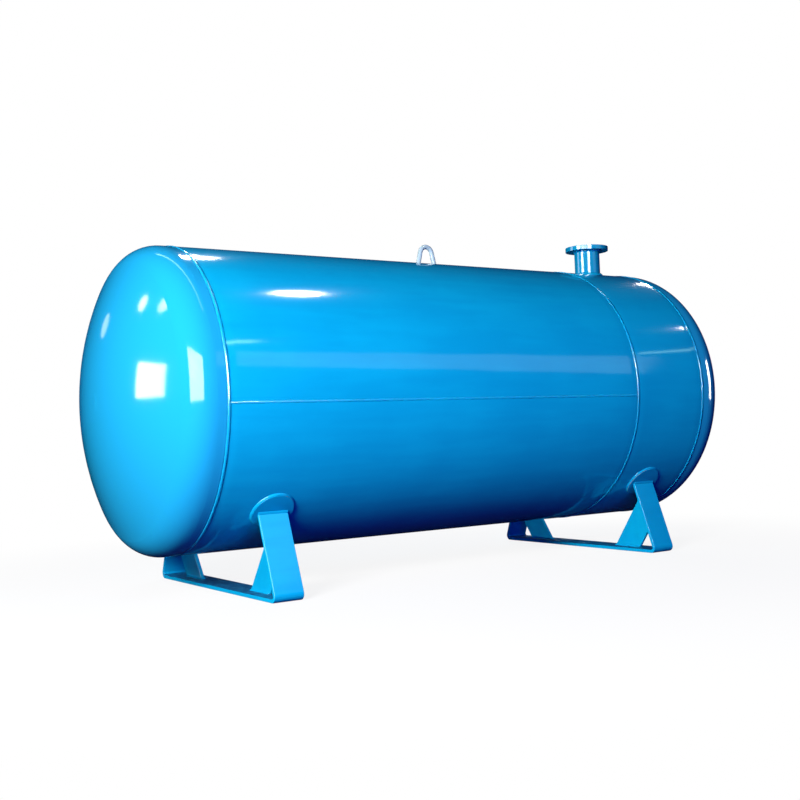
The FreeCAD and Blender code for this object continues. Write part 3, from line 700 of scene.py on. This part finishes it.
def light_the_paint():
    """The lamps that light the paint and aren't mirrored in it."""
    lamp("key", (-6.7, -4.5, 3.0), (-0.6, -0.4, 1.0), (2.6, 1.4), 1140, only="diffuse")
    lamp("blue_fill", (-2.0, -6.0, 0.5), (-0.2, 0, 0.9), (5.0, 1.2), 118, color=(0.0, 0.03, 1.0),
         only="diffuse")
    lamp("back_fill", (3.6, 5.2, 1.3), (0.2, 0.2, 1.0), (3.6, 1.6), 420, only="diffuse")


def mirror_the_room():
    """The windows and lamps of the room, mirrored in the left head and along the shell."""
    window = highlight("key_window", (-5.3, -4.2, 2.3), (-1.7, -0.7, 1.1), (4.4, 3.0), 600)
    shine_on(window, ["nozzle_pipe"], "EXCLUDE")
    highlight("left_window", (-6.1, 2.0, 1.66), (-1.85, -0.5, 1.1), (1.5, 0.95), 80)
    highlight("left_lamp_a", (-4.9, 2.98, 3.53), (-1.85, -0.4, 1.45), (0.42, 0.42), 5, shape="DISK")
    highlight("left_lamp_b", (-5.5, 2.0, 3.67), (-1.8, -0.55, 1.43), (0.42, 0.42), 5, shape="DISK")
    highlight("left_lamp_c", (-3.4, 4.57, 2.64), (-1.85, -0.2, 1.45), (0.5, 0.5), 1.2, shape="DISK")
    highlight("ceiling_lamp_near", (1.22, -0.93, 5.9), (-1.1, -0.6, 1.5), (0.42, 0.45), 42,
              shape="ELLIPSE", along=(0, 1, 0))
    highlight("ceiling_lamp_far", (0.3, 2.52, 5.24), (-1.5, -0.4, 1.7), (0.45, 0.45), 38, shape="DISK")
    highlight("long_window", (2.5, -4.38, 2.95), (0.3, -0.8, 1.15), (1.0, 4.2), 13,
              color=(0.6, 0.9, 1.0), along=(3.8, 0.76, -0.7))


def light_far_braces():
    """A low lamp that lights the far braces under the tank."""
    held = lamp("low_lamp", (-3.4, -6.0, 0.6), (0, 0.4, 0.1), (1.5, 0.6), 240, only="diffuse")
    held.data.use_shadow = False
    shine_on(held, ["brace_left_far_rounded", "brace_right_far_rounded"])


def edge_the_left_head():
    """A long strip on the ceiling, mirrored as an arc inside the left seam."""
    highlight("ceiling_strip", (-1.1, 0.1, 6.2), (-1.68, -0.55, 1.55), (0.22, 7.0), 22, on=["head_left"],
              color=(0.6, 1.0, 1.0), along=(-0.83, 3.84, 0.06))


def edge_the_right_end():
    """The streak on the right knuckle, and the spots near the right seam."""
    course = ["shell_course_short"]
    highlight("knuckle_streak", (6.1, -3.2, 1.6), (1.7, -0.7, 1.1), (0.8, 2.2), 150, on=["head_right"])
    highlight("right_shoulder_lamp", (5.5, 1.9, 4.15), (1.6, -0.4, 1.7), (0.75, 0.5), 60, on=course)
    highlight("right_spot", (5.35, -2.16, 4.39), (1.63, -0.7, 1.38), (0.12, 0.16), 4, on=course)


def edge_the_seams():
    """The short greenish lines beside the girth welds, and the glint of the welds themselves."""
    green = (0.45, 1.0, 0.8)
    beads = ["girth_bead_left", "girth_bead_middle", "girth_bead_right", "long_bead_long"]
    highlight("short_line_left", (0.35, -4.2, 4.15), (-1.4, -0.75, 1.3), (0.8, 0.16), 4.5,
              on=["shell_course_long"], color=green)
    highlight("short_line_right", (5.0, -3.4, 3.3), (1.4, -0.75, 1.3), (1.2, 0.09), 1.6,
              on=["shell_course_short"], color=green)
    highlight("weld_glint", (-1.2, -6.2, 2.5), (0.4, -0.8, 1.1), (3.4, 1.0), 2600, on=beads)


def edge_the_nozzle():
    """The upright strips on the pipe, its flange and its welds."""
    pieces = ["nozzle_pipe", "nozzle_flange_rounded", "nozzle_foot_bead", "flange_bead"]
    pipe = (NOZZLE_X, 0, 1.9)
    highlight("pipe_strip_a", (-3.58, -0.26, 2.6), pipe, (1.8, 2.4), 380, on=pieces)
    highlight("pipe_strip_b", (-0.85, -4.46, 2.6), pipe, (1.8, 2.4), 380, on=pieces)
    highlight("pipe_strip_c", (-2.4, 3.3, 2.6), pipe, (1.4, 2.4), 50, on=pieces)


# ------------------------------------------------------------------------ put together
vessel()
nozzle_welds()
lifting_lug()
flange()
for side in SUPPORTS:
    support(side)

floor()
world()
camera()
light_the_paint()
mirror_the_room()
light_far_braces()
edge_the_left_head()
edge_the_right_end()
edge_the_seams()
edge_the_nozzle()
bpy.context.scene.view_settings.view_transform = "Standard"
